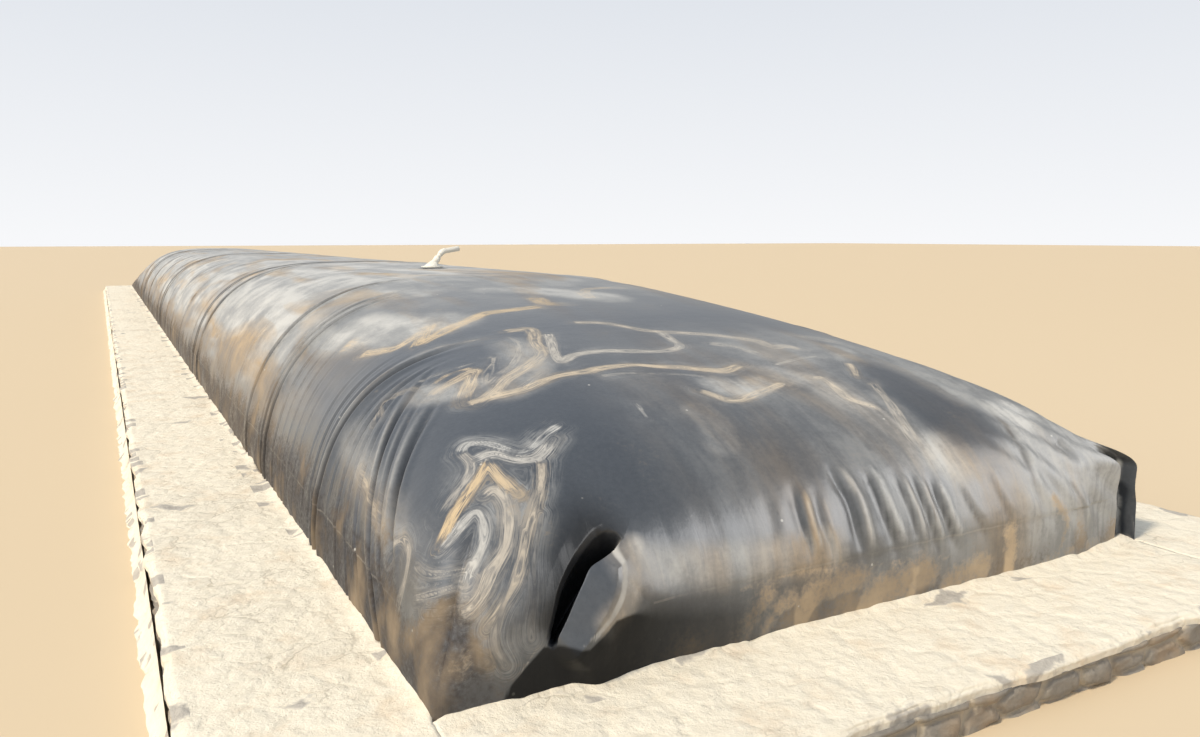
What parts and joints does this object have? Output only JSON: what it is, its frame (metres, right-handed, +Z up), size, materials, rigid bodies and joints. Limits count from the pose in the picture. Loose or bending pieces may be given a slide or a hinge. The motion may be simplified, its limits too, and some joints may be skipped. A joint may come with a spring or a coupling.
{
  "type": "covered-pit biogas digester",
  "caption": "Long masonry-kerbed pit digester with an inflated black plastic gas cover welded to its lining's skirt, and a white gas outlet on the crown.",
  "frame": {"origin": "on the ground, in the middle of the kerb's footprint", "axes": "+Y runs along the pit, away from the steep near end, +X runs across it, +Z is up"},
  "size_m": [4.99, 28.8, 1.4872],
  "materials": {
    "cover_sheet": "satin black polyethylene sheet, dusty",
    "skirt_sheet": "satin black polyethylene sheet, brown with dried mud",
    "weld_strap": "welded black polyethylene overlap",
    "rubble": "rough grey rubble laid in mortar",
    "mortar": "pale sandy mortar, trowelled and cracked",
    "white_pipe": "weathered white PVC"
  },
  "bodies": {
    "root": {"kerb_left_masonry": "rubble", "kerb_right_masonry": "rubble", "kerb_near_masonry": "rubble", "kerb_far_masonry": "rubble", "kerb_left_cap": "mortar", "kerb_right_cap": "mortar", "kerb_near_cap": "mortar", "kerb_far_cap": "mortar", "kerb_left_haunch": "mortar", "kerb_right_haunch": "mortar", "cover_near_end": "cover_sheet", "cover_panel_1": "cover_sheet", "cover_panel_2": "cover_sheet", "cover_panel_3": "cover_sheet", "cover_far_end": "cover_sheet", "weld_seam_1": "weld_strap", "weld_seam_2": "weld_strap", "weld_seam_3": "weld_strap", "weld_seam_4": "weld_strap", "skirt_left": "skirt_sheet", "skirt_right": "skirt_sheet", "skirt_near": "skirt_sheet", "skirt_far": "skirt_sheet", "corner_pleat_near_left": "cover_sheet", "corner_ear_near_right": "cover_sheet", "corner_ear_far_left": "cover_sheet", "corner_ear_far_right": "cover_sheet", "outlet_patch": "weld_strap", "outlet_flange": "white_pipe", "outlet_boot": "white_pipe", "outlet_sleeve": "white_pipe", "outlet_riser": "white_pipe", "outlet_elbow": "white_pipe", "outlet_pipe_end": "white_pipe"}
  },
  "joints": []
}
